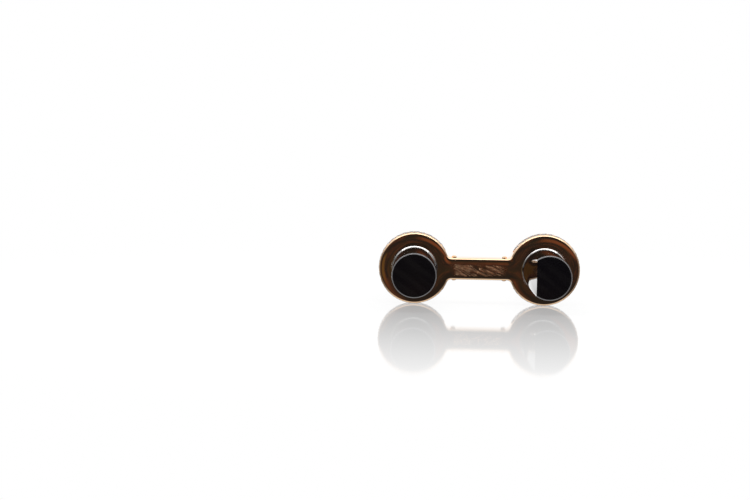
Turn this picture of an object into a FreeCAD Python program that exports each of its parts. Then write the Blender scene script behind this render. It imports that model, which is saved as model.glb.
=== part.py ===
"""Two-sided baton cufflink: a gold body of two collars and a hollow bar, with a loose stone baton
through each collar, held by a sprung plunger inside the bar.

Millimetres. The origin is the middle of the bar, X runs along the bar, Y along the batons and Z up.
The link looks the same after half a turn about Z, so each paired piece is drawn once, about its own
collar's axis with the bar towards +X, and the right-hand one is turned round.
"""
import FreeCAD, Part
import math
import os
import Sketcher

Vector = FreeCAD.Vector
doc = FreeCAD.newDocument("cufflink")

# Driving sizes, in millimetres unless the name says degrees, count or share.
SIZES = {
    # Gold body: two collars, joined by a bar of the same depth.
    "cuff_gap": 7.5,
    "collar_wall": 1.54,
    "collar_thickness": 3.0,
    "bar_height": 2.75,
    "junction_radius": 0.6,
    "edge_bevel": 0.3,
    "channel_diameter": 1.7,
    # Stone batons, with a slanting flat at one end.
    "baton_diameter": 5.5,
    "baton_length": 22.0,
    "baton_chamfer": 0.18,
    "ramp_length": 8.4,
    "ramp_depth": 1.2,
    "ramp_overrun_share": 0.1,
    # Tubes that line the collars.
    "bore_clearance": 0.05,
    "bush_wall": 0.15,
    "bush_clearance": 0.01,
    "lip_height": 0.18,
    "lip_bevel": 0.08,
    # Cross pins.
    "pin_diameter": 0.62,
    "pin_setback": 0.55,
    "pin_proud": 0.24,
    "pin_bevel": 0.14,
    "pin_clearance": 0.01,
    # Sprung plungers and their spring.
    "shoe_gap": 0.05,
    "shoe_bevel": 0.25,
    "plunger_clearance": 0.03,
    "plunger_travel": 0.5,
    "plunger_heel": 0.5,
    "slot_clearance": 0.05,
    "slot_slack": 0.3,
    "spigot_length": 0.5,
    "spigot_clearance": 0.1,
    "spring_wire": 0.2,
    "spring_clearance": 0.1,
    "spring_pitch": 0.85,
    "spring_end_gap": 0.02,
    # Stones set in two staggered rows round each collar's rim.
    "stone_diameter": 0.8,
    "stone_gap": 0.06,
    "stone_proud": 0.06,
    "crown_height": 0.13,
    "pavilion_depth": 0.34,
    "table_share": 0.58,
    "seat_clearance": 0.03,
    "row_ridge": 0.04,
    "setting_half_span_degrees": 147,
    "setting_end_share": 0.6,
    # How far every cutting shape runs past what it cuts.
    "cut_overrun": 0.4,
}

sheet = doc.addObject("Spreadsheet::Sheet", "Sizes")
for row, (alias, amount) in enumerate(SIZES.items(), start=1):
    sheet.set("A%d" % row, alias)
    sheet.set("B%d" % row, str(amount))
    sheet.setAlias("B%d" % row, alias)
doc.recompute()

# Sizes that follow from the driving ones, as expressions on the sheet.
BATON_RADIUS = "(Sizes.baton_diameter / 2)"
BATON_END = "(Sizes.baton_length / 2)"
BUSH_INNER = "(%s + Sizes.bore_clearance)" % BATON_RADIUS
BUSH_OUTER = "(%s + Sizes.bush_wall)" % BUSH_INNER
BUSH_LENGTH = "(Sizes.collar_thickness + 2 * Sizes.lip_height)"
COLLAR_BORE = "(%s + Sizes.bush_clearance)" % BUSH_OUTER
COLLAR_RADIUS = "(%s + Sizes.collar_wall)" % COLLAR_BORE
HALF_SPACING = "(Sizes.cuff_gap / 2 + %s)" % COLLAR_RADIUS
CHANNEL_RADIUS = "(Sizes.channel_diameter / 2)"
PIN_RADIUS = "(Sizes.pin_diameter / 2)"
PIN_FROM_COLLAR = "(%s + Sizes.pin_setback)" % COLLAR_RADIUS
PIN_FROM_MIDDLE = "(%s - %s)" % (HALF_SPACING, PIN_FROM_COLLAR)
SHOE_FACE = "(%s + Sizes.shoe_gap)" % BATON_RADIUS
PLUNGER_RADIUS = "(%s - Sizes.plunger_clearance)" % CHANNEL_RADIUS
SLOT_HALF_WIDTH = "(%s + Sizes.slot_clearance)" % PIN_RADIUS
SLOT_OUTER = "(%s - %s - Sizes.plunger_travel)" % (PIN_FROM_COLLAR, SLOT_HALF_WIDTH)
SLOT_INNER = "(%s + %s + Sizes.slot_slack)" % (PIN_FROM_COLLAR, SLOT_HALF_WIDTH)
PLUNGER_BACK = "(%s + Sizes.plunger_heel)" % SLOT_INNER
SPRING_RADIUS = "(%s - Sizes.spring_clearance - Sizes.spring_wire / 2)" % CHANNEL_RADIUS
SPRING_HALF = "(%s - %s - Sizes.spring_end_gap)" % (HALF_SPACING, PLUNGER_BACK)
SPIGOT_RADIUS = "(%s - Sizes.spring_wire / 2 - Sizes.spigot_clearance)" % SPRING_RADIUS
STONE_RADIUS = "(Sizes.stone_diameter / 2)"
TABLE_LEVEL = "(%s + Sizes.stone_proud)" % COLLAR_RADIUS
GIRDLE_LEVEL = "(%s - Sizes.crown_height)" % TABLE_LEVEL
SEAT_HALF_WIDTH = "(%s + Sizes.seat_clearance)" % STONE_RADIUS
SEAT_DEPTH = "(Sizes.pavilion_depth * %s / %s)" % (SEAT_HALF_WIDTH, STONE_RADIUS)
ROW_OFFSET = "(%s + Sizes.row_ridge / 2)" % SEAT_HALF_WIDTH
STONE_STEP = "((Sizes.stone_diameter + Sizes.stone_gap) / %s * 180 / pi)" % GIRDLE_LEVEL
STONE_REACH = "floor(Sizes.setting_half_span_degrees / %s)" % STONE_STEP
SETTING_SWEEP = "(2 * %s * (%s + Sizes.setting_end_share))" % (STONE_STEP, STONE_REACH)

# Sketch vocabulary: a sketch's own origin and axes, and the named points of its curves.
H_AXIS, V_AXIS = range(-1, -3, -1)
ORIGIN = H_AXIS
START, END, CENTRE = range(1, 4)
EDGE_TOLERANCE_SHARE = 1e-6


def number(expression):
    """The value of an expression on the sheet."""
    return float(sheet.evalExpression(expression))


def start_sketch(body, name, plane_role):
    """A sketch on one of a body's own origin planes."""
    sketch = body.newObject("Sketcher::SketchObject", name)
    plane = next(feature for feature in body.Origin.OriginFeatures if feature.Role == plane_role)
    sketch.AttachmentSupport = [(plane, "")]
    sketch.MapMode = "FlatFace"
    return sketch


def dimension(sketch, kind, name, expression, *places):
    """A dimension of a sketch, tied to the sheet."""
    index = sketch.addConstraint(Sketcher.Constraint(kind, *places, number(expression)))
    sketch.renameConstraint(index, name)
    sketch.setExpression("Constraints." + name, expression)


def place_point(sketch, name, curve, point, across, up):
    """Hold a point of a curve at two distances from the sketch's origin."""
    if across == "0":
        sketch.addConstraint(Sketcher.Constraint("PointOnObject", curve, point, V_AXIS))
    else:
        dimension(sketch, "DistanceX", name + "_across", across, ORIGIN, START, curve, point)
    if up == "0":
        sketch.addConstraint(Sketcher.Constraint("PointOnObject", curve, point, H_AXIS))
    else:
        dimension(sketch, "DistanceY", name + "_up", up, ORIGIN, START, curve, point)


def add_circle(sketch, name, across, up, radius):
    """A circle whose centre and radius are expressions."""
    centre = Vector(number(across), number(up), 0)
    circle = sketch.addGeometry(Part.Circle(centre, Vector(0, 0, 1), number(radius)), False)
    dimension(sketch, "Radius", name + "_radius", radius, circle)
    place_point(sketch, name, circle, CENTRE, across, up)


def add_outline(sketch, name, corners):
    """A closed outline of straight lines through corners that are pairs of expressions."""
    points = [Vector(number(across), number(up), 0) for across, up in corners]
    lines = []
    for index, point in enumerate(points):
        following = points[(index + 1) % len(points)]
        lines.append(sketch.addGeometry(Part.LineSegment(point, following), False))
    for index, line in enumerate(lines):
        following = lines[(index + 1) % len(lines)]
        sketch.addConstraint(Sketcher.Constraint("Coincident", line, END, following, START))
    for index, (across, up) in enumerate(corners):
        place_point(sketch, "%s_%d" % (name, index), lines[index], START, across, up)


def add_turning_axis(sketch, name, across, up):
    """A construction line, square to the sketch's first axis, that a profile turns about."""
    foot = Vector(number(across), 0, 0)
    head = Vector(number(across), number(up), 0)
    line = sketch.addGeometry(Part.LineSegment(foot, head), True)
    place_point(sketch, name + "_foot", line, START, across, "0")
    place_point(sketch, name + "_head", line, END, across, up)


def extrude(body, kind, name, sketch, length, side="Symmetric", reverse=False):
    """A pad or a pocket of a sketch, its length tied to the sheet."""
    feature = body.newObject("PartDesign::" + kind, name)
    feature.Profile = sketch
    feature.Type = "Length"
    feature.SideType = side
    feature.Reversed = reverse
    feature.setExpression("Length", length)
    doc.recompute()
    return feature


def soften(body, kind, name, base, belongs, amount):
    """A fillet or a chamfer on the edges that belong to it, its size tied to the sheet."""
    edges = ["Edge%d" % place for place, edge in enumerate(base.Shape.Edges, start=1) if belongs(edge)]
    feature = body.newObject("PartDesign::" + kind, name)
    feature.Base = (base, edges)
    feature.setExpression("Radius" if kind == "Fillet" else "Size", amount)
    doc.recompute()
    return feature


def runs_along_y(edge):
    """Whether an edge is a straight line along Y."""
    if not isinstance(edge.Curve, Part.Line):
        return False
    return abs(edge.Curve.Direction.y) > 1 - EDGE_TOLERANCE_SHARE


def lies_level(edge, axis, level):
    """Whether an edge lies in the plane where the given coordinate equals level."""
    near = abs(level) * EDGE_TOLERANCE_SHARE
    box = edge.BoundBox
    lowest = getattr(box, axis + "Min")
    highest = getattr(box, axis + "Max")
    return abs(lowest - level) < near and abs(highest - level) < near


def start_body(name):
    """An empty body, labelled with its piece's name."""
    body = doc.addObject("PartDesign::Body", name)
    body.Label = name
    return body


def seat_on_side(piece, side, distance):
    """Carry a piece from its own axis to its place on the left or, turned round, on the right."""
    half_turn = 180 if side == "right" else 0
    piece.Placement = FreeCAD.Placement(Vector(), FreeCAD.Rotation(Vector(0, 0, 1), half_turn))
    piece.setExpression("Placement.Base.x", distance if side == "right" else "-" + distance)


def make_link_body():
    """Gold body: bar and collars padded flush, softened, then bored and grooved for the stones."""
    body = start_body("link_body")
    half_height = "(Sizes.bar_height / 2)"
    bar_sketch = start_sketch(body, "bar_outline", "XZ_Plane")
    add_outline(bar_sketch, "bar", [
        ("-" + HALF_SPACING, "-" + half_height),
        (HALF_SPACING, "-" + half_height),
        (HALF_SPACING, half_height),
        ("-" + HALF_SPACING, half_height),
    ])
    extrude(body, "Pad", "bar", bar_sketch, "Sizes.collar_thickness")
    collar_sketch = start_sketch(body, "collar_outlines", "XZ_Plane")
    add_circle(collar_sketch, "left", "-" + HALF_SPACING, "0", COLLAR_RADIUS)
    add_circle(collar_sketch, "right", HALF_SPACING, "0", COLLAR_RADIUS)
    collars = extrude(body, "Pad", "collars", collar_sketch, "Sizes.collar_thickness")

    def at_junction(edge):
        return runs_along_y(edge) and abs(edge.CenterOfMass.x) < number(HALF_SPACING)

    def on_outline(edge):
        face = number("Sizes.collar_thickness / 2")
        return lies_level(edge, "Y", face) or lies_level(edge, "Y", -face)

    joined = soften(body, "Fillet", "junctions", collars, at_junction, "Sizes.junction_radius")
    softened = soften(body, "Chamfer", "soft_edges", joined, on_outline, "Sizes.edge_bevel")
    solid_volume = softened.Shape.Volume

    bore_sketch = start_sketch(body, "bore_outlines", "XZ_Plane")
    add_circle(bore_sketch, "left", "-" + HALF_SPACING, "0", COLLAR_BORE)
    add_circle(bore_sketch, "right", HALF_SPACING, "0", COLLAR_BORE)
    extrude(body, "Pocket", "bores", bore_sketch, "Sizes.collar_thickness + 2 * Sizes.cut_overrun")
    channel_sketch = start_sketch(body, "channel_outline", "YZ_Plane")
    add_circle(channel_sketch, "channel", "0", "0", CHANNEL_RADIUS)
    extrude(body, "Pocket", "channel", channel_sketch, "2 * " + HALF_SPACING)
    pin_sketch = start_sketch(body, "pin_hole_outlines", "XY_Plane")
    pin_hole = "(%s + Sizes.pin_clearance)" % PIN_RADIUS
    add_circle(pin_sketch, "left", "-" + PIN_FROM_MIDDLE, "0", pin_hole)
    add_circle(pin_sketch, "right", PIN_FROM_MIDDLE, "0", pin_hole)
    extrude(body, "Pocket", "pin_holes", pin_sketch, "Sizes.bar_height + 2 * Sizes.cut_overrun")

    setting_sketch = start_sketch(body, "setting_profile", "XY_Plane")
    add_turning_axis(setting_sketch, "collar_axis", "-" + HALF_SPACING, "Sizes.collar_thickness")
    outside = "-(%s + %s + Sizes.cut_overrun)" % (HALF_SPACING, COLLAR_RADIUS)
    girdle = "-(%s + %s)" % (HALF_SPACING, GIRDLE_LEVEL)
    foot = "-(%s + %s - %s)" % (HALF_SPACING, GIRDLE_LEVEL, SEAT_DEPTH)
    for name, row in (("front", "-" + ROW_OFFSET), ("rear", ROW_OFFSET)):
        low = "%s - %s" % (row, SEAT_HALF_WIDTH)
        high = "%s + %s" % (row, SEAT_HALF_WIDTH)
        add_outline(setting_sketch, name, [
            (outside, low),
            (girdle, low),
            (foot, row),
            (girdle, high),
            (outside, high),
        ])
    groove = body.newObject("PartDesign::Groove", "left_setting")
    groove.Profile = setting_sketch
    groove.ReferenceAxis = (setting_sketch, ["Axis0"])
    groove.Midplane = True
    groove.setExpression("Angle", SETTING_SWEEP)
    doc.recompute()
    mirrored = body.newObject("PartDesign::Mirrored", "right_setting")
    mirrored.Originals = [groove]
    plane = next(feature for feature in body.Origin.OriginFeatures if feature.Role == "YZ_Plane")
    mirrored.MirrorPlane = (plane, [""])
    body.Tip = mirrored
    doc.recompute()
    print("link_body: softened", round(solid_volume, 3), "finished", round(body.Shape.Volume, 3), "mm3")
    return body


def make_bush(side):
    """Tube that lines a collar, with a bevelled lip at each face and a window for the plunger."""
    body = start_body(side + "_bush")
    wall_sketch = start_sketch(body, side + "_bush_wall", "XZ_Plane")
    add_circle(wall_sketch, "outer", "0", "0", BUSH_OUTER)
    add_circle(wall_sketch, "inner", "0", "0", BUSH_INNER)
    tube = extrude(body, "Pad", side + "_bush_tube", wall_sketch, BUSH_LENGTH)

    def at_lip(edge):
        end = number(BUSH_LENGTH + " / 2")
        outside = edge.BoundBox.XLength > number("%s + %s" % (BUSH_INNER, BUSH_OUTER))
        return outside and (lies_level(edge, "Y", end) or lies_level(edge, "Y", -end))

    soften(body, "Chamfer", side + "_bush_lips", tube, at_lip, "Sizes.lip_bevel")
    window_sketch = start_sketch(body, side + "_bush_window_outline", "YZ_Plane")
    add_circle(window_sketch, "window", "0", "0", CHANNEL_RADIUS)
    extrude(body, "Pocket", side + "_bush_window", window_sketch, COLLAR_RADIUS, "One side", True)
    seat_on_side(body, side, HALF_SPACING)
    return body


def make_baton(side):
    """Stone baton with bevelled ends and a slanting flat at the end where it is pushed in."""
    body = start_body(side + "_baton")
    section = start_sketch(body, side + "_baton_section", "XZ_Plane")
    add_circle(section, "section", "0", "0", BATON_RADIUS)
    rod = extrude(body, "Pad", side + "_baton_rod", section, "Sizes.baton_length")

    def at_end(edge):
        return lies_level(edge, "Y", number(BATON_END)) or lies_level(edge, "Y", -number(BATON_END))

    soften(body, "Chamfer", side + "_baton_bevels", rod, at_end, "Sizes.baton_chamfer")
    ramp_sketch = start_sketch(body, side + "_baton_ramp_outline", "XY_Plane")
    outside = "%s + Sizes.ramp_depth * Sizes.ramp_overrun_share" % BATON_RADIUS
    inside = "%s - Sizes.ramp_depth * (1 + Sizes.ramp_overrun_share)" % BATON_RADIUS
    past_end = "%s + Sizes.ramp_length * Sizes.ramp_overrun_share" % BATON_END
    past_foot = "%s - Sizes.ramp_length * (1 + Sizes.ramp_overrun_share)" % BATON_END
    add_outline(ramp_sketch, "ramp", [(inside, past_end), (outside, past_foot), (outside, past_end)])
    extrude(body, "Pocket", side + "_baton_ramp", ramp_sketch, "Sizes.baton_diameter + 2 * Sizes.cut_overrun")
    seat_on_side(body, side, HALF_SPACING)
    return body


def make_plunger(side):
    """Rubbing plunger: a round slider with a bevelled shoe, a slot for the pin and a spring spigot."""
    body = start_body(side + "_plunger")
    shank_sketch = start_sketch(body, side + "_plunger_section", "YZ_Plane")
    shank_sketch.setExpression("AttachmentOffset.Base.z", SHOE_FACE)
    add_circle(shank_sketch, "shank", "0", "0", PLUNGER_RADIUS)
    length = "%s - %s" % (PLUNGER_BACK, SHOE_FACE)
    shank = extrude(body, "Pad", side + "_plunger_shank", shank_sketch, length, "One side")

    def at_shoe(edge):
        return lies_level(edge, "X", number(SHOE_FACE))

    soften(body, "Chamfer", side + "_plunger_shoe", shank, at_shoe, "Sizes.shoe_bevel")
    spigot_sketch = start_sketch(body, side + "_plunger_spigot_section", "YZ_Plane")
    spigot_sketch.setExpression("AttachmentOffset.Base.z", PLUNGER_BACK)
    add_circle(spigot_sketch, "spigot", "0", "0", SPIGOT_RADIUS)
    extrude(body, "Pad", side + "_plunger_spigot", spigot_sketch, "Sizes.spigot_length", "One side")
    slot_sketch = start_sketch(body, side + "_plunger_slot_outline", "XY_Plane")
    add_outline(slot_sketch, "slot", [
        (SLOT_OUTER, "-" + SLOT_HALF_WIDTH),
        (SLOT_INNER, "-" + SLOT_HALF_WIDTH),
        (SLOT_INNER, SLOT_HALF_WIDTH),
        (SLOT_OUTER, SLOT_HALF_WIDTH),
    ])
    extrude(body, "Pocket", side + "_plunger_slot", slot_sketch, "Sizes.channel_diameter")
    seat_on_side(body, side, HALF_SPACING)
    return body


def make_pin(side):
    """Pin across the bar, standing a little proud above and below with bevelled ends."""
    body = start_body(side + "_pin")
    section = start_sketch(body, side + "_pin_section", "XY_Plane")
    add_circle(section, "section", "0", "0", PIN_RADIUS)
    length = "(Sizes.bar_height + 2 * Sizes.pin_proud)"
    shank = extrude(body, "Pad", side + "_pin_shank", section, length)

    def at_end(edge):
        end = number(length + " / 2")
        return lies_level(edge, "Z", end) or lies_level(edge, "Z", -end)

    soften(body, "Chamfer", side + "_pin_bevels", shank, at_end, "Sizes.pin_bevel")
    seat_on_side(body, side, PIN_FROM_MIDDLE)
    return body


def cut_stone(outward, row):
    """One eight-sided brilliant: flat table, crown, girdle and pointed pavilion, facing outward."""
    axial = Vector(0, 1, 0)
    around = outward.cross(axial)
    facet_count = 8
    to_corner = 1 / math.cos(math.pi / facet_count)

    def ring(level, flat_distance):
        corners = []
        for side in range(facet_count):
            angle = (side + 1 / 2) * 2 * math.pi / facet_count
            reach = flat_distance * to_corner
            sideways = axial * (row + reach * math.cos(angle)) + around * (reach * math.sin(angle))
            corners.append(outward * level + sideways)
        return corners

    table = ring(number(TABLE_LEVEL), number(STONE_RADIUS) * number("Sizes.table_share"))
    girdle = ring(number(GIRDLE_LEVEL), number(STONE_RADIUS))
    culet = outward * (number(GIRDLE_LEVEL) - number("Sizes.pavilion_depth")) + axial * row
    outlines = [table]
    for side in range(facet_count):
        following = (side + 1) % facet_count
        outlines.append([table[side], girdle[side], girdle[following], table[following]])
        outlines.append([girdle[side], culet, girdle[following]])
    faces = [Part.Face(Part.makePolygon(outline + outline[:1])) for outline in outlines]
    stone = Part.makeSolid(Part.makeShell(faces))
    return stone if stone.Volume > 0 else stone.reversed()


def make_stones(side):
    """Two staggered rows of stones round a collar's rim, each in its bright-cut groove."""
    step = math.radians(number(STONE_STEP))
    reach = int(number(STONE_REACH))
    stones = []
    for count, row in ((2 * reach + 1, -number(ROW_OFFSET)), (2 * reach, number(ROW_OFFSET))):
        for place in range(count):
            angle = (place - (count - 1) / 2) * step
            stones.append(cut_stone(Vector(-math.cos(angle), 0, math.sin(angle)), row))
    feature = doc.addObject("Part::Feature", side + "_stones")
    feature.Label = side + "_stones"
    feature.Shape = Part.makeCompound(stones)
    seat_on_side(feature, side, HALF_SPACING)
    print(feature.Label, len(stones), "stones")
    return feature


def biarc(start, start_way, finish, finish_way):
    """Two arcs that leave start and reach finish along the given unit directions."""
    span = finish - start
    ways = start_way + finish_way
    bend = 2 * (1 - start_way.dot(finish_way))
    along = span.dot(ways)
    reach = (math.sqrt(along * along + bend * span.dot(span)) - along) / bend
    first_corner = start + start_way * reach
    second_corner = finish - finish_way * reach
    joint = (first_corner + second_corner) / 2
    arcs = []
    for foot, corner, head in ((start, first_corner, joint), (joint, second_corner, finish)):
        chord_middle = (foot + head) / 2
        half_chord = (head - foot).Length / 2
        rise = (corner - chord_middle).Length
        bulge = half_chord * math.tan(math.atan2(rise, half_chord) / 2) / rise
        crest = chord_middle + (corner - chord_middle) * bulge
        arcs.append(Part.Arc(foot, crest, head).toShape())
    return arcs


def make_spring():
    """Coil spring between the two plungers, one unbroken six-sided wire about the bar's own axis."""
    wire_radius = number("Sizes.spring_wire / 2")
    radius = number(SPRING_RADIUS)
    half_run = number(SPRING_HALF) - wire_radius
    turns = max(1, int(2 * half_run / number("Sizes.spring_pitch")))
    quarters = 4 * turns
    climb = 2 * half_run / quarters
    arc_length = radius * math.pi / 2

    def station(quarter):
        angle = quarter * math.pi / 2
        point = Vector(-half_run + climb * quarter, radius * math.cos(angle), radius * math.sin(angle))
        way = Vector(climb, -arc_length * math.sin(angle), arc_length * math.cos(angle))
        return point, way.normalize()

    edges = []
    for quarter in range(quarters):
        edges.extend(biarc(*station(quarter), *station(quarter + 1)))
    first_point, first_way = station(0)
    outward = Vector(0, 1, 0)
    sideways = first_way.cross(outward)
    flat_count = 6
    corners = []
    for place in range(flat_count + 1):
        angle = place * 2 * math.pi / flat_count
        reach = outward * math.cos(angle) + sideways * math.sin(angle)
        corners.append(first_point + reach * wire_radius)
    section = Part.makePolygon(corners)
    feature = doc.addObject("Part::Feature", "plunger_spring")
    feature.Label = "plunger_spring"
    feature.Shape = Part.Wire(edges).makePipeShell([section], True, False)
    between_turns = 4 * climb - 2 * wire_radius
    print("plunger_spring:", turns, "turns, least gap between turns about", round(between_turns, 3), "mm")
    return feature


pieces = [make_link_body()]
for hand in ("left", "right"):
    for make_piece in (make_bush, make_baton, make_plunger, make_pin, make_stones):
        pieces.append(make_piece(hand))
pieces.append(make_spring())
doc.recompute()

for thing in doc.Objects:
    if "Invalid" in thing.State or "Error" in thing.State:
        raise RuntimeError("feature failed: " + thing.Name)
for piece in pieces:
    if piece.Shape.isNull() or not piece.Shape.isValid():
        raise RuntimeError("bad shape: " + piece.Label)

os.makedirs("parts", exist_ok=True)
for piece in pieces:
    piece.Shape.exportStep("parts/%s.step" % piece.Label)
    print(piece.Label, len(piece.Shape.Solids), "solids,", round(piece.Shape.Volume, 3), "mm3")
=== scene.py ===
# %% [markdown]
# # A baton cufflink
# The link is a gold H: two round collars on a short bar, with a black stone baton loose in each
# collar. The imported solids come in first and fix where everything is. Their box is kept, because
# what is added below has to stay inside it.

# %% Load the solids
import math
import bmesh
import bpy
from mathutils import Matrix, Vector


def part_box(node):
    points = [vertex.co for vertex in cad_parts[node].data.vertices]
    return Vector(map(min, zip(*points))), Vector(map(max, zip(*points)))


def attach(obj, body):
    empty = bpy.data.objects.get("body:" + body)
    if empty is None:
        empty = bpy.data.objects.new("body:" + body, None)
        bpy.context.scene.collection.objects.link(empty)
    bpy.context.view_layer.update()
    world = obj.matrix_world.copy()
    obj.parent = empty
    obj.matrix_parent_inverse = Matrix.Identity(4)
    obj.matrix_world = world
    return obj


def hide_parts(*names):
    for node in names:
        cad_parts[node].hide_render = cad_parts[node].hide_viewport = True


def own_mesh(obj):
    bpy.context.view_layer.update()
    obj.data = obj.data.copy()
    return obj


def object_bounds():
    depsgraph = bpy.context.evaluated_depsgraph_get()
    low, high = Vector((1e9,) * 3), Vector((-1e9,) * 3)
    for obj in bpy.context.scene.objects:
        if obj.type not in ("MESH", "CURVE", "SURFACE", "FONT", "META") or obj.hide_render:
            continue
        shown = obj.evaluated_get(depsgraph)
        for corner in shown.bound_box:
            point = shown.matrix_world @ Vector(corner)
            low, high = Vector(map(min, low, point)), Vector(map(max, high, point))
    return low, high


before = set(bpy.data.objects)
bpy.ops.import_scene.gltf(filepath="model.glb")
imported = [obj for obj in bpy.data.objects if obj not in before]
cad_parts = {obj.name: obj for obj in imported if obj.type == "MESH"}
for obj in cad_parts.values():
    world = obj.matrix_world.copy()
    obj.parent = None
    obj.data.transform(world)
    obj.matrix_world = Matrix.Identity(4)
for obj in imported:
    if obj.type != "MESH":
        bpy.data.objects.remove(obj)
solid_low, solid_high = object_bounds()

MM = 0.001
scene = bpy.context.scene
solid_size = [round(v / MM, 2) for v in solid_high - solid_low]
print("solids:", len(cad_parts), "size", solid_size, "mm")

# %% [markdown]
# ## Sizes read from the solids
# Each new piece takes its measurements from the solid it stands for, so that nothing is fitted by
# eye. What can't be read from a box is written here: the height of the bar, the fillet where it
# meets a collar, the channel, the gaps between pieces and the two rows of stones.

# %% Sizes
END_TRIM = 0.001 * MM
SLIDING_GAP = 0.014 * MM
SEATING_GAP = 0.01 * MM
ROW_OFFSET_MM = 0.45
STONE_STEP_DEGREES = 11.1225
STONES_EACH_WAY = 13
SETTING_END_SHARE = 0.6

baton_low, baton_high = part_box("left_baton")
_, body_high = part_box("link_body")
_, bush_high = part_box("left_bush")
pin_low, pin_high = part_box("left_pin")
stone_low, stone_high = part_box("left_stones")

collar_x = -(baton_low.x + baton_high.x) / 2
collar_radius = body_high.x - collar_x
half_depth = body_high.y
baton_radius = (baton_high.z - baton_low.z) / 2
baton_end = baton_high.y - END_TRIM
bush_outer = bush_high.z
bush_inner = baton_radius + SLIDING_GAP
lip_end = bush_high.y
bore_radius = bush_outer + SEATING_GAP
pin_x = -(pin_low.x + pin_high.x) / 2
pin_radius = (pin_high.x - pin_low.x) / 2
bar_half_height = 1.375 * MM
junction_radius = 0.6 * MM
channel_radius = 0.85 * MM
print("collars at", round(collar_x / MM, 3), "radius", round(collar_radius / MM, 3), "mm")
print("baton radius", round(baton_radius / MM, 3), "bush radius", round(bush_outer / MM, 3), "mm")
print("pins at", round(pin_x / MM, 3), "mm")
print("two rows of stones", round((stone_high.y - stone_low.y) / MM, 3), "mm deep")

# %% [markdown]
# ## The camera
# The picture is taken from just above table height, nearly square on to the ends of the batons,
# with a long lens. The link sits right of the middle of the frame, so the camera is placed by its
# own three axes and no lens shift is needed.

# %% Camera
TO_RIGHT_MM, UPWARDS_MM, BACKWARDS_MM = -13.25, 2.47, 225.7

camera_data = bpy.data.cameras.new("camera")
camera_data.lens = 85.4
camera_data.sensor_width = 36.0
camera_data.clip_start = 0.01
camera_data.clip_end = 10.0
camera = bpy.data.objects.new("camera", camera_data)
scene.collection.objects.link(camera)
scene.camera = camera

camera_back = Vector((0.0258, -0.9958, 0.0880)).normalized()
camera_up = Vector((-0.0192, 0.0875, 0.9960))
camera_right = camera_up.cross(camera_back).normalized()
camera_up = camera_back.cross(camera_right)
face_middle = Vector((0, -half_depth, 0))
offset = TO_RIGHT_MM * camera_right + UPWARDS_MM * camera_up + BACKWARDS_MM * camera_back
stand = face_middle + offset * MM
camera_axes = Matrix((camera_right, camera_up, camera_back)).transposed().to_4x4()
camera.matrix_world = Matrix.Translation(stand) @ camera_axes
print("camera at", [round(v / MM, 1) for v in stand], "mm")

# %% [markdown]
# ## Writing node trees as sums
# Shader and geometry nodes are easier to follow as a line of arithmetic than as a web of boxes. A
# Flow wraps a socket, so `1 - mask` adds the Math node that works it out. A Recipe adds any other
# node: its type, its settings, which are set first, and then the values or links of its sockets.

# %% Flow and Recipe
class Flow:
    """What comes out of a socket. Arithmetic on it adds Math nodes to the tree."""

    def __init__(self, recipe, socket):
        self.recipe = recipe
        self.socket = socket

    def other(self, name):
        return Flow(self.recipe, self.socket.node.outputs[name])

    def work(self, operation, first, second=0.0):
        return self.recipe.node("ShaderNodeMath", {"operation": operation}, {0: first, 1: second})

    def __add__(self, other):
        return self.work("ADD", self, other)

    def __sub__(self, other):
        return self.work("SUBTRACT", self, other)

    def __rsub__(self, other):
        return self.work("SUBTRACT", other, self)

    def __mul__(self, other):
        return self.work("MULTIPLY", self, other)

    def __pow__(self, other):
        return self.work("POWER", self, other)

    def __abs__(self):
        return self.work("ABSOLUTE", self)

    __radd__ = __add__


class Recipe:
    """A node tree written line by line."""

    def __init__(self, tree):
        self.tree = tree
        tree.nodes.clear()

    def node(self, kind, settings=(), sockets=(), output=0):
        made = self.tree.nodes.new(kind)
        for name, value in dict(settings).items():
            if name == "stops":
                for place, (position, colour) in enumerate(value):
                    stops = made.color_ramp.elements
                    stop = stops[place] if place < len(stops) else stops.new(position)
                    stop.position = position
                    stop.color = colour
            else:
                setattr(made, name, value)
        for name, value in dict(sockets).items():
            if isinstance(value, Flow):
                self.tree.links.new(value.socket, made.inputs[name])
            else:
                made.inputs[name].default_value = value
        return Flow(self, made.outputs[output]) if len(made.outputs) else made

    def step(self, value, low, high):
        """0 below low, 1 above high and smooth between."""
        limits = {"Value": value, "From Min": low, "From Max": high}
        return self.node("ShaderNodeMapRange", {"interpolation_type": "SMOOTHSTEP"}, limits)

    def band(self, value, rise, fall):
        """1 between a rising and a falling step, and 0 outside them."""
        return self.step(value, *rise) * (1 - self.step(value, *fall))

    def blend(self, share, first, second):
        """A colour between two colours."""
        return self.node("ShaderNodeMix", {"data_type": "RGBA"}, {0: share, 6: first, 7: second}, 2)

    def millimetres(self):
        """Where the point lies on the piece, in millimetres."""
        place = self.node("ShaderNodeTexCoord", output="Object")
        return self.node("ShaderNodeVectorMath", {"operation": "SCALE"}, {
            0: place, "Scale": 1 / MM})

    def stretched(self, place, turn, stretch):
        """Turn a place by angles in degrees and stretch it, for streaks."""
        angles = tuple(math.radians(angle) for angle in turn)
        return self.node("ShaderNodeMapping", {"vector_type": "TEXTURE"}, {
            "Vector": place, "Rotation": angles, "Scale": stretch})

    def noise(self, place, scale, detail=2.0):
        return self.node("ShaderNodeTexNoise", {}, {
            "Vector": place, "Scale": scale, "Detail": detail})

    def bump(self, height, distance):
        return self.node("ShaderNodeBump", {}, {"Height": height, "Distance": distance})


def start_finish(name):
    """An empty material and its recipe."""
    material = bpy.data.materials.new(name)
    material.use_nodes = True
    return material, Recipe(material.node_tree)


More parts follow.
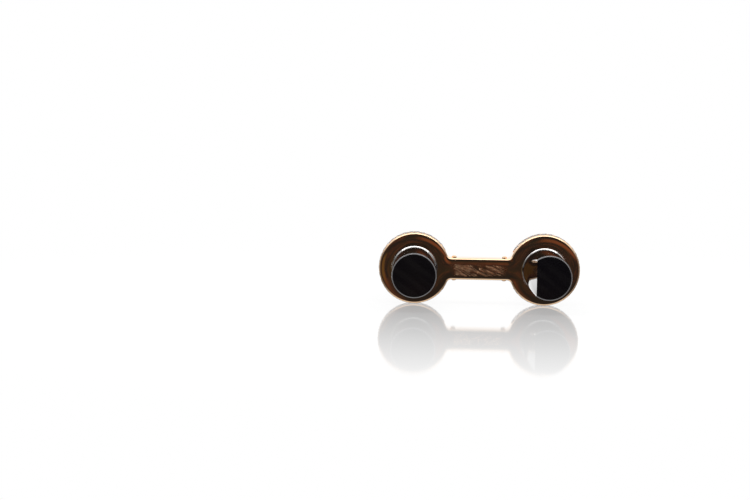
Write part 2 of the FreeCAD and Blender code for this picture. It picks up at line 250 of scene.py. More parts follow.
def close_finish(recipe, sockets):
    """Put a Principled shader with these sockets at the end of a recipe."""
    shader = recipe.node("ShaderNodeBsdfPrincipled", {}, sockets)
    recipe.node("ShaderNodeOutputMaterial", {}, {"Surface": shader})


print("recipes ready")

# %% [markdown]
# ## Rose gold
# The body is polished to a mirror by hand, so its faces are not quite flat: they wander by a
# degree or so and carry hairlines in every direction. The bar has been rubbed across its front
# with something coarse, which left a patch of short slanting strokes. All of it is drawn on
# Object coordinates in millimetres, because the scratches belong to the metal and not to an
# unwrapped sheet.

# %% Rose gold finish
PALE_GOLD = (0.93, 0.67, 0.44, 1)
DEEP_GOLD = (0.88, 0.58, 0.37, 1)
RUBBED_GOLD = (0.88, 0.45, 0.25, 1)
# Turn in degrees, stretch in millimetres and weight of each family of hairlines.
HAIRLINES = (((0, 24, 0), (3.0, 1.0, 0.05), 1.0), ((0, -51, 0), (4.0, 1.0, 0.06), 0.7))
# Turn in degrees, length and width in millimetres of each family of strokes.
STROKES = ((25, 2.4, 0.24), (31, 2.0, 0.19), (18, 2.6, 0.21))
STROKE_DEPTH = 1.6
SCORE_TURN = 3
SCORE_LENGTH, SCORE_WIDTH = 3.0, 0.07
STROKE_WEIGHT = 0.55
# Where the rubbed patch fades, from the middle of the bar: in front, along, and above or below.
RUB_FRONT_MM = (1.3, 1.4)
RUB_REACH_MM = (3.3, 4.3)
RUB_HEIGHT_MM = (0.80, 1.10)
RUB_DROP_MM = 0.15
GOLD_RELIEF = 0.03 * MM

rose_gold, recipe = start_finish("rose_gold")
place = recipe.millimetres()
axes = recipe.node("ShaderNodeSeparateXYZ", {}, {0: place})
across, depth, height = axes, axes.other("Y"), axes.other("Z")

tone = recipe.noise(place, 0.45, 3.0)
colour = recipe.blend(tone, PALE_GOLD, DEEP_GOLD)

hairlines = 0
for turn, stretch, weight in HAIRLINES:
    lines = recipe.noise(recipe.stretched(place, turn, stretch), 1.0, 2.0)
    hairlines = recipe.step(lines, 0.60, 0.70) * weight + hairlines

strokes = 0
for turn, length, width in STROKES:
    bundle_place = recipe.stretched(place, (0, turn, 0), (length, STROKE_DEPTH, width))
    bundles = recipe.noise(bundle_place, 1.0, 1.0)
    score_stretch = (SCORE_LENGTH, STROKE_DEPTH, SCORE_WIDTH)
    score_place = recipe.stretched(place, (0, turn + SCORE_TURN, 0), score_stretch)
    scores = recipe.noise(score_place, 1.0, 1.0)
    scored = recipe.step(bundles, 0.42, 0.56) * recipe.step(scores, 0.44, 0.54)
    strokes = scored * STROKE_WEIGHT + strokes
ragged = recipe.noise(place, 0.9, 2.0)
bar_face = recipe.step(depth * -1.0, *RUB_FRONT_MM)
rubbed = (1 - recipe.step(abs(across) + ragged * 1.2, *RUB_REACH_MM)) * bar_face
lifted = abs(height + RUB_DROP_MM) + ragged * 0.5
rubbed = rubbed * (1 - recipe.step(lifted, *RUB_HEIGHT_MM))
wear = strokes * rubbed
colour = recipe.blend(wear, colour, RUBBED_GOLD)

wander = recipe.noise(place, 0.30, 1.0)
relief = wander + hairlines * -0.012 + wear * -0.46
close_finish(recipe, {
    "Base Color": colour,
    "Metallic": 1.0,
    "Roughness": 0.045 + tone * 0.03 + hairlines * 0.02 + wear * 0.46,
    "Normal": recipe.bump(relief, GOLD_RELIEF),
})
print("rose gold:", len(recipe.tree.nodes), "nodes")

# %% [markdown]
# ## Black onyx
# Onyx is a banded stone, dyed until the bands almost vanish. It polishes to a deep gloss, except
# on the bevel round each end, which is made rougher and painted light grey as a painted
# highlight ring. A few specks of dust lie on it.

# %% Onyx finish
DARK_BAND = (0.0035, 0.0030, 0.0042, 1)
PALE_BAND = (0.0062, 0.0055, 0.0064, 1)
# Light grey painted on the bevels: a painted highlight ring round each end.
PAINTED_BEVEL_HIGHLIGHT = (0.16, 0.155, 0.16, 1)
DUST = (0.26, 0.25, 0.24, 1)
ONYX_RELIEF = 0.006 * MM
# How far in from the side and back from the end the rough, painted highlight band of a bevel begins
# and is full.
BEVEL_RING_INSETS_MM = (0.15, 0.10)
BEVEL_RING_DROPS_MM = (0.20, 0.13)

black_onyx, recipe = start_finish("black_onyx")
place = recipe.millimetres()
axes = recipe.node("ShaderNodeSeparateXYZ", {}, {0: place})
from_axis = abs(axes) - collar_x / MM
radius = (from_axis ** 2.0 + axes.other("Z") ** 2.0) ** 0.5
along = abs(axes.other("Y"))

bands = recipe.noise(recipe.stretched(place, (18, 35, 10), (6.0, 6.0, 0.7)), 1.0, 3.0)
cloud = recipe.noise(place, 0.5, 2.0)
stone = recipe.blend(recipe.step(bands, 0.45, 0.70), DARK_BAND, PALE_BAND)
edge_grain = recipe.noise(place, 5.0, 3.0)
near_side = recipe.step(radius, *(baton_radius / MM - inset for inset in BEVEL_RING_INSETS_MM))
near_end = recipe.step(along, *(baton_end / MM - drop for drop in BEVEL_RING_DROPS_MM))
# The bevel round each end is painted light grey as a highlight ring, and it is also made rougher
# there.
rough_bevel_and_painted_ring = near_side * near_end * (0.55 + edge_grain * 0.7)
specks = recipe.node("ShaderNodeTexVoronoi", {}, {"Vector": place, "Scale": 0.55})
kept = recipe.node("ShaderNodeSeparateColor", {}, {0: specks.other("Color")})
dust = (1 - recipe.step(specks, 0.020, 0.055)) * recipe.step(kept, 0.45, 0.55)
# Painted highlight: the bevel turns light grey.
colour = recipe.blend(rough_bevel_and_painted_ring, stone, PAINTED_BEVEL_HIGHLIGHT)
colour = recipe.blend(dust * 0.6, colour, DUST)
scuff_place = recipe.stretched(place, (20, 8, 40), (2.0, 0.04, 0.5))
scuffs = recipe.step(recipe.noise(scuff_place, 1.0), 0.62, 0.72)
close_finish(recipe, {
    "Base Color": colour,
    "Roughness": 0.035 + cloud * 0.03 + scuffs * 0.02 + rough_bevel_and_painted_ring * 0.30 + dust * 0.4,
    "IOR": 1.54,
    "Normal": recipe.bump(scuffs * -0.04 + edge_grain * rough_bevel_and_painted_ring * 0.5, ONYX_RELIEF),
})
print("black onyx:", len(recipe.tree.nodes), "nodes")

# %% [markdown]
# ## Brilliants and steel
# The stones in the rims are clear, with a trace of violet or brown in some of them. The bushes
# that line the collars show as a white line beside the gold, so they are steel, turned and then
# polished. The plungers and their spring are steel too, and keep the fine rings that turning and
# drawing leave.

# %% Brilliants finish
VIOLET, CLEAR, BROWN = (0.46, 0.44, 0.53, 1), (0.76, 0.75, 0.80, 1), (0.62, 0.55, 0.46, 1)
FACET_RELIEF = 0.002 * MM

brilliants, recipe = start_finish("brilliants")
place = recipe.millimetres()
tint = recipe.noise(place, 0.8, 1.0)
water_stops = [(0.38, VIOLET), (0.52, CLEAR), (0.62, BROWN)]
water = recipe.node("ShaderNodeValToRGB", {"stops": water_stops}, {0: tint})
film = recipe.noise(place, 6.0, 2.0)
close_finish(recipe, {
    "Base Color": water,
    "Roughness": film * 0.06,
    "IOR": 2.3,
    "Transmission Weight": 0.92,
    "Normal": recipe.bump(film, FACET_RELIEF),
})
print("brilliants:", len(recipe.tree.nodes), "nodes")

# %% Steel finishes
BRIGHT_STEEL, STAINED_STEEL = (0.56, 0.56, 0.57, 1), (0.46, 0.45, 0.44, 1)
WHITE_STEEL, GREY_STEEL = (0.80, 0.79, 0.78, 1), (0.70, 0.68, 0.66, 1)
DRAWN_RELIEF = 0.006 * MM
TURNED_RELIEF = 0.002 * MM

steel, recipe = start_finish("steel")
place = recipe.millimetres()
rings = recipe.noise(recipe.stretched(place, (0, 0, 0), (0.05, 1.5, 1.5)), 1.0, 3.0)
stain = recipe.noise(place, 1.2, 3.0)
close_finish(recipe, {
    "Base Color": recipe.blend(stain, BRIGHT_STEEL, STAINED_STEEL),
    "Metallic": 1.0,
    "Roughness": 0.22 + rings * 0.16,
    "Normal": recipe.bump(rings, DRAWN_RELIEF),
})
print("steel:", len(recipe.tree.nodes), "nodes")

polished_steel, recipe = start_finish("polished_steel")
place = recipe.millimetres()
rings = recipe.noise(recipe.stretched(place, (0, 0, 0), (1.5, 0.05, 1.5)), 1.0, 3.0)
haze = recipe.noise(place, 0.9, 2.0)
close_finish(recipe, {
    "Base Color": recipe.blend(haze, WHITE_STEEL, GREY_STEEL),
    "Metallic": 1.0,
    "Roughness": 0.05 + rings * 0.08 + haze * 0.03,
    "Normal": recipe.bump(rings, TURNED_RELIEF),
})
print("polished steel:", len(recipe.tree.nodes), "nodes")

# %% Steel pieces that stay as the solids are
for name in ("left_plunger", "right_plunger"):
    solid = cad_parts[name]
    if not solid.material_slots:
        solid.data.materials.append(steel)
    for slot in solid.material_slots:
        slot.material = steel
    print(name, "steel")

# %% [markdown]
# ## Helpers for the pieces
# Three things are done again and again: turning a profile on a lathe, cutting one mesh out of
# another, and handing a finished mesh over to the body that carries it. A smooth surface gets
# sharp edges only where two faces meet at a real angle.

# %% Mesh helpers
SHARP_DEGREES = 32
DRILL_STEPS = 48
TOUCHING = 1e-7


def turned(profile, steps, hollow=False):
    """Turn (radius, along) points about the Y axis. A hollow profile is closed on itself."""
    shape = bmesh.new()
    rings = []
    for reach, along in profile:
        count = 1 if reach == 0 else steps
        angles = [2 * math.pi * step / steps for step in range(count)]
        points = [(reach * math.cos(a), along, reach * math.sin(a)) for a in angles]
        rings.append([shape.verts.new(point) for point in points])
    pairs = list(zip(rings, rings[1:]))
    if hollow:
        pairs.append((rings[-1], rings[0]))
    for first, second in pairs:
        for step in range(steps):
            following = (step + 1) % steps
            corners = [first[step % len(first)], first[following % len(first)]]
            corners += [second[following % len(second)], second[step % len(second)]]
            shape.faces.new(list(dict.fromkeys(corners)))
    bmesh.ops.recalc_face_normals(shape, faces=shape.faces)
    return shape


def as_mesh(shape, name, sharp_degrees=SHARP_DEGREES):
    """Close a shape into a smooth mesh whose real edges stay sharp."""
    mesh = bpy.data.meshes.new(name)
    shape.to_mesh(mesh)
    shape.free()
    mesh.shade_smooth()
    mesh.set_sharp_from_angle(angle=math.radians(sharp_degrees))
    return mesh


def evaluated(holder, name):
    """The mesh that an object's modifiers give, and the object taken away."""
    graph = bpy.context.evaluated_depsgraph_get()
    mesh = bpy.data.meshes.new_from_object(holder.evaluated_get(graph))
    mesh.name = name
    bpy.data.objects.remove(holder)
    return mesh


def bored(mesh, reach, start, end):
    """Cut a round channel along X out of a mesh."""
    holder = bpy.data.objects.new("holder", mesh)
    rod = turned([(0, start), (reach, start), (reach, end), (0, end)], DRILL_STEPS)
    bmesh.ops.rotate(rod, verts=rod.verts, matrix=Matrix.Rotation(-math.pi / 2, 3, "Z"))
    drill = bpy.data.objects.new("drill", as_mesh(rod, "drill"))
    for thing in (holder, drill):
        scene.collection.objects.link(thing)
    cut = holder.modifiers.new("channel", "BOOLEAN")
    cut.operation = "DIFFERENCE"
    cut.solver = "EXACT"
    cut.object = drill
    result = evaluated(holder, mesh.name)
    bpy.data.objects.remove(drill)
    result.set_sharp_from_angle(angle=math.radians(SHARP_DEGREES))
    return result


def hand_over(name, mesh, body, finish, stands_for=()):
    """Make a mesh a piece: its finish, its body and the solids it stands for."""
    mesh.materials.clear()
    mesh.materials.append(finish)
    piece = bpy.data.objects.new(name, mesh)
    scene.collection.objects.link(piece)
    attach(piece, body)
    if stands_for:
        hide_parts(*stands_for)
    print(name, len(mesh.polygons), "faces")
    return piece


HALF_TURN = Matrix.Rotation(math.pi, 4, "Z")
SIDES = (
    ("left", Matrix.Translation((-collar_x, 0, 0))),
    ("right", Matrix.Translation((collar_x, 0, 0)) @ HALF_TURN),
)

# %% [markdown]
# ## The gold body
# The body is one outline with one cross-section all the way round it: a wall, a rounded edge and
# a face that rises slightly to the middle, as hand polishing leaves it. So the outline is walked
# once, point by point with its outward direction, and every ring of the mesh is that walk moved
# inwards and sideways. A bevel on a flat plate would give the edge but not the gentle rise, and
# the rise is what catches the light.

# %% Outline of the body
PLAIN_STEPS = 4
SETTING_STEPS = 180
JUNCTION_STEPS = 14
BAR_STEPS = 12
# The angle by which a cut starts late and ends early, so that it has end walls.
SETTING_INSET = 1e-4


def body_outline():
    """Points of the H, their outward directions and whether the rim is cut for stones there."""
    lift = bar_half_height + junction_radius
    reach = collar_radius + junction_radius
    inset = math.sqrt(reach ** 2 - lift ** 2)
    lean = math.atan2(lift, inset)
    setting_end = math.radians(STONE_STEP_DEGREES * (STONES_EACH_WAY + SETTING_END_SHARE))
    walk = []

    def arc(centre, radius, start, end, steps, cut=False):
        for step in range(steps + 1):
            angle = start + (end - start) * step / steps
            way = Vector((math.cos(angle), 0, math.sin(angle)))
            outward = way if radius > 0 else -way
            walk.append((centre + way * abs(radius), outward, cut))

    for sign in (1, -1):
        turn = 0 if sign > 0 else math.pi
        centre = Vector((sign * collar_x, 0, 0))
        open_end = math.pi - lean
        cut_start = turn - setting_end + SETTING_INSET
        cut_end = turn + setting_end - SETTING_INSET
        arc(centre, collar_radius, turn - open_end, turn - setting_end, PLAIN_STEPS)
        arc(centre, collar_radius, cut_start, cut_end, SETTING_STEPS, True)
        arc(centre, collar_radius, turn + setting_end, turn + open_end, PLAIN_STEPS)
        corner = Vector((sign * (collar_x - inset), 0, sign * lift))
        arc(corner, -junction_radius, turn - lean, turn - math.pi / 2, JUNCTION_STEPS)
        for step in range(1, BAR_STEPS):
            share = 1 - 2 * step / BAR_STEPS
            foot = Vector((sign * (collar_x - inset) * share, 0, sign * bar_half_height))
            walk.append((foot, Vector((0, 0, sign)), False))
        corner = Vector((-sign * (collar_x - inset), 0, sign * lift))
        level_start = turn - math.pi / 2
        arc(corner, -junction_radius, level_start, turn - math.pi + lean, JUNCTION_STEPS)
    kept = [walk[-1]]
    for point in walk:
        if (point[0] - kept[-1][0]).length > TOUCHING:
            kept.append(point)
    return kept[1:] if (kept[0][0] - kept[-1][0]).length < TOUCHING else kept


outline = body_outline()
print("outline:", len(outline), "points")

# %% [markdown]
# The cross-section starts near the middle of the front face and runs out to the wall. Each step
# says how far the face leans there, in degrees, so the polish is drawn as angles, which is how it
# is seen. The wall carries two grooves for the stones where the rim is cut.

# %% Cross-section of the body
EDGE_RADIUS = 0.31 * MM
EDGE_START = 31
EDGE_LEANS = (36, 44, 52, 60, 68, 76, 83, 90)
FACE_LEANS = (24, 17, 13, 10.5, 8.8, 7.4, 6.2, 5, 4, 3, 2.2, 1.5, 1)
FACE_STEP = 0.0885 * MM
# Places across a groove and how deep it is there, in millimetres.
GROOVE = ((-0.43, 0.0), (-0.43, 0.07), (0.0, 0.4355), (0.43, 0.07), (0.43, 0.0))


def face_section():
    """(inset, level) from the middle of the face to the wall, level from the face's middle."""
    points = [(0.0, 0.0)]
    for lean in reversed(FACE_LEANS):
        inset, level = points[-1]
        points.append((inset - FACE_STEP, level - FACE_STEP * math.tan(math.radians(lean))))
    inset, level = points[-1]
    start = math.radians(EDGE_START)
    for lean in EDGE_LEANS:
        angle = math.radians(lean)
        run = EDGE_RADIUS * (math.sin(angle) - math.sin(start))
        fall = EDGE_RADIUS * (math.cos(start) - math.cos(angle))
        points.append((inset - run, level - fall))
    wall = points[-1][0]
    return [(inset - wall, level) for inset, level in points]


def body_section():
    """The section from the front face round the wall to the back face: (inset, depth, groove)."""
    face = face_section()
    front = [(inset, -half_depth - level, 0.0) for inset, level in face]
    grooves = []
    for row in (-ROW_OFFSET_MM, ROW_OFFSET_MM):
        for across, cut in GROOVE:
            grooves.append((0.0, (row + across) * MM, cut * MM))
    back = [(inset, half_depth + level, 0.0) for inset, level in reversed(face)]
    return front + grooves + back


section = body_section()
print("section:", len(section), "points")

# %% [markdown]
# Every point of the section becomes a ring round the outline. The flat middle of each face is
# filled between the innermost ring and the two bores, the bores get their walls, and the channel
# is drilled.

# %% Mesh of the body
BORE_STEPS = 128

shape = bmesh.new()
rings = []
for inset, level, groove in section:
    ring = []
    for point, outward, cut in outline:
        moved = point - outward * (inset + (groove if cut else 0.0))
        ring.append(shape.verts.new((moved.x, level, moved.z)))
    rings.append(ring)
for first, second in zip(rings, rings[1:]):
    for step in range(len(outline)):
        following = (step + 1) % len(outline)
        shape.faces.new((first[step], first[following], second[following], second[step]))

bore_rims = {}
for ring, level in ((rings[0], section[0][1]), (rings[-1], section[-1][1])):
    border = [shape.edges.get((ring[i], ring[(i + 1) % len(ring)])) for i in range(len(ring))]
    for sign in (1, -1):
        rim = []
        for step in range(BORE_STEPS):
            angle = 2 * math.pi * step / BORE_STEPS
            reach = sign * collar_x + bore_radius * math.cos(angle)
            rim.append(shape.verts.new((reach, level, bore_radius * math.sin(angle))))
        border += [shape.edges.new((rim[i], rim[(i + 1) % BORE_STEPS])) for i in range(BORE_STEPS)]
        bore_rims.setdefault(sign, []).append(rim)
    bmesh.ops.triangle_fill(shape, edges=border, use_beauty=True)
for front_rim, back_rim in bore_rims.values():
    for step in range(BORE_STEPS):
        following = (step + 1) % BORE_STEPS
        corners = (front_rim[step], front_rim[following], back_rim[following], back_rim[step])
        shape.faces.new(corners)
bmesh.ops.remove_doubles(shape, verts=shape.verts, dist=TOUCHING)
bmesh.ops.recalc_face_normals(shape, faces=shape.faces)
body_mesh = bored(as_mesh(shape, "gold_body"), channel_radius, -collar_x, collar_x)
hand_over("gold_body", body_mesh, "link", rose_gold, ["link_body"])

# %% [markdown]
# ## Bushes, batons and pins
# These are lathe work. The bush is a short tube with a finely bevelled lip at both ends, and has
# a window for the plunger. The baton is a rod with a small bevel, and its ramp is one slice off
# the rod, softened along its edge. The pin is a rod with domed ends.

# %% Bushes
# How far out from the bore and how far back from the end each point of a lip lies, in millimetres.
LIP_STEPS = (
    (0.0, 0.012), (0.003, 0.003), (0.008, 0.0), (0.014, 0.004), (0.056, 0.046), (0.064, 0.051))
LIP_FALL = 0.066 * MM
BUSH_STEPS = 128


def bush_section():
    """Tube wall as a closed loop, with a fine bevel beside the bore and a gentle fall outside."""
    front = [(bush_inner + out * MM, -lip_end + back * MM) for out, back in LIP_STEPS]
    front += [(bush_outer, -lip_end + LIP_FALL), (bush_outer, -half_depth)]
    return front + [(reach, -along) for reach, along in reversed(front)]


for side, seat in SIDES:
    name = side + "_lined_bush"
    tube = as_mesh(turned(bush_section(), BUSH_STEPS, hollow=True), name)
    tube = bored(tube, channel_radius, 0.0, collar_radius)
    tube.transform(seat)
    hand_over(name, tube, "link", polished_steel, [side + "_bush"])

# %% Batons
BEVEL = 0.13 * MM
# How far in from the side and back from the end each point of a bevel lies, in bevel widths.
BEVEL_STEPS = ((1.5, 0.0), (1.15, 0.0), (0.92, 0.08), (0.08, 0.92), (0.0, 1.15), (0.0, 1.5))
RAMP_DEPTH = 1.2 * MM
RAMP_LENGTH = 8.4 * MM
RAMP_SOFTENING = 0.05 * MM
BATON_STEPS = 160
BATON_SHARP_DEGREES = 20


def baton_profile():
    """Half of the rod's outline, from one pole to the other, with softened bevels."""
    end = [(0.0, baton_end)]
    for inset, drop in BEVEL_STEPS:
        end.append((baton_radius - BEVEL * inset, baton_end - BEVEL * drop))
    return end + [(reach, -along) for reach, along in reversed(end)]


for side, seat in SIDES:
    name = side + "_onyx_baton"
    rod = turned(baton_profile(), BATON_STEPS)
    foot = Vector((baton_radius, baton_end - RAMP_LENGTH, 0))
    slant = Vector((RAMP_LENGTH, RAMP_DEPTH, 0)).normalized()
    everything = rod.verts[:] + rod.edges[:] + rod.faces[:]
    sliced = bmesh.ops.bisect_plane(
        rod, geom=everything, plane_co=foot, plane_no=slant, clear_outer=True)
    rim = [item for item in sliced["geom_cut"] if isinstance(item, bmesh.types.BMEdge)]
    bmesh.ops.edgeloop_fill(rod, edges=rim)
    bmesh.ops.bevel(
        rod, geom=rim, offset=RAMP_SOFTENING, segments=2, profile=0.5, affect="EDGES")
    bmesh.ops.recalc_face_normals(rod, faces=rod.faces)
    mesh = as_mesh(rod, name, BATON_SHARP_DEGREES)
    mesh.transform(seat)
    hand_over(name, mesh, side + "_baton", black_onyx, [side + "_baton"])

# %% Pins
DOME_STEPS = 6
DOME_SHARE = 0.8
PIN_STEPS = 32

pin_end = pin_high.z
dome = pin_end - bar_half_height
pin_profile = []
for step in range(DOME_STEPS + 1):
    angle = math.radians(90 * step / DOME_STEPS)
    along = pin_end - dome * DOME_SHARE * (1 - math.cos(angle))
    pin_profile.append((pin_radius * math.sin(angle), along))
pin_profile += [(reach, -along) for reach, along in reversed(pin_profile)]
for side, sign in (("left", -1), ("right", 1)):
    name = side + "_domed_pin"
    pin = turned(pin_profile, PIN_STEPS)
    bmesh.ops.rotate(pin, verts=pin.verts, matrix=Matrix.Rotation(math.pi / 2, 3, "X"))
    mesh = as_mesh(pin, name)
    mesh.transform(Matrix.Translation((sign * pin_x, 0, 0)))
    hand_over(name, mesh, "link", rose_gold, [side + "_pin"])

# %% [markdown]
# ## Stones and grains round the rims
# Each rim holds two staggered rows of round brilliants, and grains of gold are pushed up between
# them to hold them in. Both are one small shape repeated along an arc, which is what Geometry
# Nodes are for: the object carries one stone, and the tree sets copies of it along two rows.

# %% One brilliant and one grain
STONE_MM, STONE_GAP_MM = 0.8, 0.06
STONE_RADIUS = STONE_MM / 2 * MM
CROWN = 0.125 * MM
PAVILION = 0.34 * MM
GIRDLE_DROP = 0.07 * MM
TABLE_SHARE = 0.58
# Reach and level of the stars' points and of the lower halves, as shares of radius and height.
STAR_REACH, STAR_LEVEL = 0.80, 0.58
LOWER_REACH, LOWER_LEVEL = 0.50, 0.56


def cut_brilliant(radius, crown, pavilion, table_share):
    """A brilliant with its girdle at the origin and its table up: 57 facets."""
    stone = bmesh.new()

    def ring(count, offset, reach, level):
        angles = [2 * math.pi * (place + offset) / count for place in range(count)]
        return [stone.verts.new((reach * math.cos(a), reach * math.sin(a), level)) for a in angles]

    table = ring(8, 0.0, radius * table_share, crown)
    stars = ring(8, 0.5, radius * STAR_REACH, crown * STAR_LEVEL)
    girdle = ring(16, 0.0, radius, 0.0)
    lower = ring(8, 0.5, radius * LOWER_REACH, -pavilion * LOWER_LEVEL)
    culet = stone.verts.new((0, 0, -pavilion))
    stone.faces.new(table)
    for place in range(8):
        following = (place + 1) % 8
        corner, middle = girdle[2 * place], girdle[2 * place + 1]
        next_corner = girdle[2 * following]
        stone.faces.new((table[place], stars[place], table[following]))
        stone.faces.new((table[place], stars[place - 1], corner, stars[place]))
        stone.faces.new((stars[place], corner, middle))
        stone.faces.new((stars[place], middle, next_corner))
        stone.faces.new((lower[place], middle, corner))
        stone.faces.new((lower[place], next_corner, middle))
        stone.faces.new((culet, lower[place], corner, lower[place - 1]))
    bmesh.ops.recalc_face_normals(stone, faces=stone.faces)
    return stone


def raised_grain(radius):
    """A small ball of gold, of which only the top stands out of the rim."""
    grain = bmesh.new()
    bmesh.ops.create_uvsphere(grain, u_segments=10, v_segments=7, radius=radius)
    return grain


girdle_level = collar_radius - GIRDLE_DROP
print("stone", STONE_MM, "mm across, girdle level", round(girdle_level / MM, 3), "mm")

# %% Two rows round a rim
rows_tree = bpy.data.node_groups.new("rows_round_a_rim", "GeometryNodeTree")
recipe = Recipe(rows_tree)
for name, kind in (
    ("One", "NodeSocketGeometry"),
    ("Front count", "NodeSocketInt"), ("Rear count", "NodeSocketInt"),
    ("Row offset", "NodeSocketFloat"), ("Ring radius", "NodeSocketFloat"),
    ("Step", "NodeSocketFloat"), ("Collar", "NodeSocketVector"), ("Turn", "NodeSocketVector"),
    ("Finish", "NodeSocketMaterial"), ("Seed", "NodeSocketInt"), ("Unevenness", "NodeSocketFloat"),
):
    rows_tree.interface.new_socket(name, in_out="INPUT", socket_type=kind)
rows_tree.interface.new_socket("Rows", in_out="OUTPUT", socket_type="NodeSocketGeometry")
given = recipe.node("NodeGroupInput")
index = recipe.node("GeometryNodeInputIndex")
join = rows_tree.nodes.new("GeometryNodeJoinGeometry")
for count_name, sign in (("Front count", -1.0), ("Rear count", 1.0)):
    count = given.other(count_name)
    angle = (index - (count - 1.0) * 0.5) * given.other("Step")
    outward = recipe.node("ShaderNodeCombineXYZ", {}, {
        "X": angle.work("COSINE", angle) * -1.0 * given.other("Ring radius"),
        "Y": given.other("Row offset") * sign,
        "Z": angle.work("SINE", angle) * given.other("Ring radius")})
    line = recipe.node("GeometryNodeMeshLine", {}, {"Count": count})
    seats = recipe.node("GeometryNodeSetPosition", {}, {"Geometry": line, "Position": outward})
    lean = recipe.node("ShaderNodeCombineXYZ", {}, {"Y": angle - math.pi / 2})
    facing = recipe.node("FunctionNodeEulerToRotation", {}, {0: lean})
    copies = recipe.node("GeometryNodeInstanceOnPoints", {}, {
        "Points": seats, "Instance": given, "Rotation": facing})
    twist = recipe.node("FunctionNodeRandomValue", {"data_type": "FLOAT"}, {
        2: 0.0, 3: math.pi, "Seed": given.other("Seed")}, 1)
    spin = recipe.node("ShaderNodeCombineXYZ", {}, {"Z": twist * given.other("Unevenness")})
    about_itself = recipe.node("FunctionNodeEulerToRotation", {}, {0: spin})
    spun = recipe.node("GeometryNodeRotateInstances", {}, {
        "Instances": copies, "Rotation": about_itself, "Local Space": True})
    rows_tree.links.new(spun.socket, join.inputs["Geometry"])
to_side = recipe.node("FunctionNodeEulerToRotation", {}, {0: given.other("Turn")})
placed = recipe.node("GeometryNodeTransform", {}, {
    "Geometry": Flow(recipe, join.outputs[0]), "Translation": given.other("Collar"),
    "Rotation": to_side})
solid_rows = recipe.node("GeometryNodeRealizeInstances", {}, {"Geometry": placed})
coated = recipe.node("GeometryNodeSetMaterial", {}, {
    "Geometry": solid_rows, "Material": given.other("Finish")})
recipe.node("NodeGroupOutput", {}, {"Rows": coated})


def grown(tree, name, seed_mesh, sizes):
    """Run a tree on a mesh and keep the result as a plain mesh."""
    holder = bpy.data.objects.new(name, seed_mesh)
    scene.collection.objects.link(holder)
    modifier = holder.modifiers.new("tree", "NODES")
    modifier.node_group = tree
    for item in tree.interface.items_tree:
        if item.in_out == "INPUT" and item.name in sizes:
            modifier[item.identifier] = sizes[item.name]
    return evaluated(holder, name)


print("row tree:", len(rows_tree.nodes), "nodes")

# %% Stones and grains in place
STONE_SEED, GRAIN_SEED = 4, 9
GRAIN_PROUD_MM = 0.055
# Name, radius in millimetres, counts of the two rows, their offset in millimetres and how much of a
# stone's step lies between two grains.
GRAIN_ROWS = (
    ("outer_grains", 0.10, 26, 25, 0.84, 1.0),
    ("ridge_grains", 0.085, 52, 0, 0.0, 0.5),
)

stone_step = (STONE_MM + STONE_GAP_MM) * MM / girdle_level
for side, sign in (("left", -1), ("right", 1)):
    turn = 0.0 if sign < 0 else math.pi
    seat = {"Collar": (sign * collar_x, 0.0, 0.0), "Turn": (0.0, 0.0, turn)}
    name = side + "_brilliants"
    one = bpy.data.meshes.new("one_stone")
    brilliant = cut_brilliant(STONE_RADIUS, CROWN, PAVILION, TABLE_SHARE)
    brilliant.to_mesh(one)
    brilliant.free()
    rows = grown(rows_tree, name, one, seat | {
        "Front count": 2 * STONES_EACH_WAY + 1, "Rear count": 2 * STONES_EACH_WAY,
        "Row offset": ROW_OFFSET_MM * MM, "Ring radius": girdle_level, "Step": stone_step,
        "Finish": brilliants, "Seed": STONE_SEED, "Unevenness": 1.0})
    hand_over(name, rows, "link", brilliants, [side + "_stones"])
    for label, grain_radius, front, rear, offset, share in GRAIN_ROWS:
        name = "%s_%s" % (side, label)
        one = bpy.data.meshes.new("one_grain")
        grain = raised_grain(grain_radius * MM)
        grain.to_mesh(one)
        grain.free()
        one.shade_smooth()
        rows = grown(rows_tree, name, one, seat | {
            "Front count": front, "Rear count": rear, "Row offset": offset * MM,
            "Ring radius": collar_radius + (GRAIN_PROUD_MM - grain_radius) * MM,
            "Step": stone_step * share, "Finish": rose_gold, "Seed": GRAIN_SEED, "Unevenness": 0.0})
        hand_over(name, rows, "link", rose_gold)

# %% [markdown]
# ## The spring in the bar
# One coil of drawn wire lies between the plungers and pushes both of them out. It is never seen
# whole, but it has to give way when a plunger is pressed. So each half is a coil of its own that
# starts at the middle of the bar. A coil follows a rule, so a second tree winds it.

# %% Winding a coil
STEPS_A_TURN = 36
WIRE_SIDES = 12

coil_tree = bpy.data.node_groups.new("coil_of_wire", "GeometryNodeTree")
recipe = Recipe(coil_tree)
for name, kind in (
    ("Turns", "NodeSocketFloat"), ("Coil radius", "NodeSocketFloat"),
    ("Wire radius", "NodeSocketFloat"), ("Length", "NodeSocketFloat"),
    ("Turn", "NodeSocketVector"), ("Finish", "NodeSocketMaterial"),
):
    coil_tree.interface.new_socket(name, in_out="INPUT", socket_type=kind)
coil_tree.interface.new_socket("Coil", in_out="OUTPUT", socket_type="NodeSocketGeometry")
given = recipe.node("NodeGroupInput")
spiral = recipe.node("GeometryNodeCurveSpiral", {}, {
    "Resolution": STEPS_A_TURN, "Rotations": given.other("Turns"),
    "Start Radius": given.other("Coil radius"), "End Radius": given.other("Coil radius"),
    "Height": given.other("Length")})
wire_round = recipe.node("GeometryNodeCurvePrimitiveCircle", {"mode": "RADIUS"}, {
    "Resolution": WIRE_SIDES, "Radius": given.other("Wire radius")})
wire = recipe.node("GeometryNodeCurveToMesh", {}, {
    "Curve": spiral, "Profile Curve": wire_round, "Fill Caps": True})
laid_down = recipe.node("FunctionNodeEulerToRotation", {}, {0: (0.0, math.pi / 2, 0.0)})
along_bar = recipe.node("GeometryNodeTransform", {}, {"Geometry": wire, "Rotation": laid_down})
to_side = recipe.node("FunctionNodeEulerToRotation", {}, {0: given.other("Turn")})
